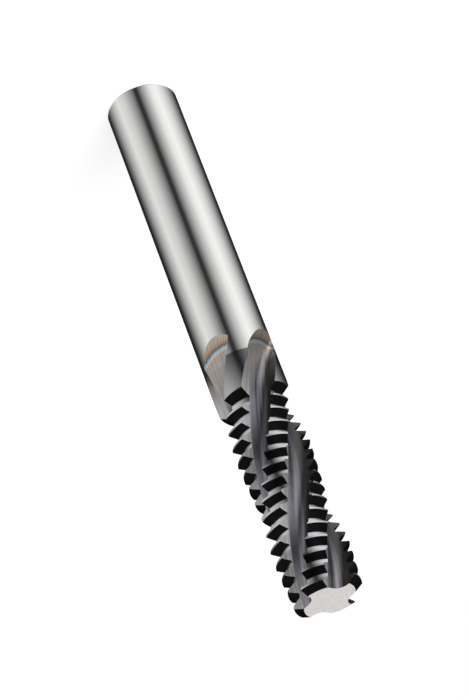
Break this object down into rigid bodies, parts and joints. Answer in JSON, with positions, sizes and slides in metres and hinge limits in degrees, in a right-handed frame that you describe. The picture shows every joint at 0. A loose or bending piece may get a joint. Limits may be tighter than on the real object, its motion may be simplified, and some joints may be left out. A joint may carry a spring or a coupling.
{
  "type": "thread mill",
  "caption": "Solid carbide thread mill: plain round shank, helical flutes with rounded run-outs, and rings of relieved sixty degree teeth.",
  "frame": {"origin": "centre of the shank's rear face, on the floor", "axes": "+Z along the tool's axis towards the cutting tip"},
  "size_m": [0.01, 0.01, 0.083],
  "materials": {
    "carbide": "bright ground shank, dark grey coating on the cutting part, matt end face"
  },
  "bodies": {
    "root": {"thread_mill": "carbide"}
  },
  "joints": []
}
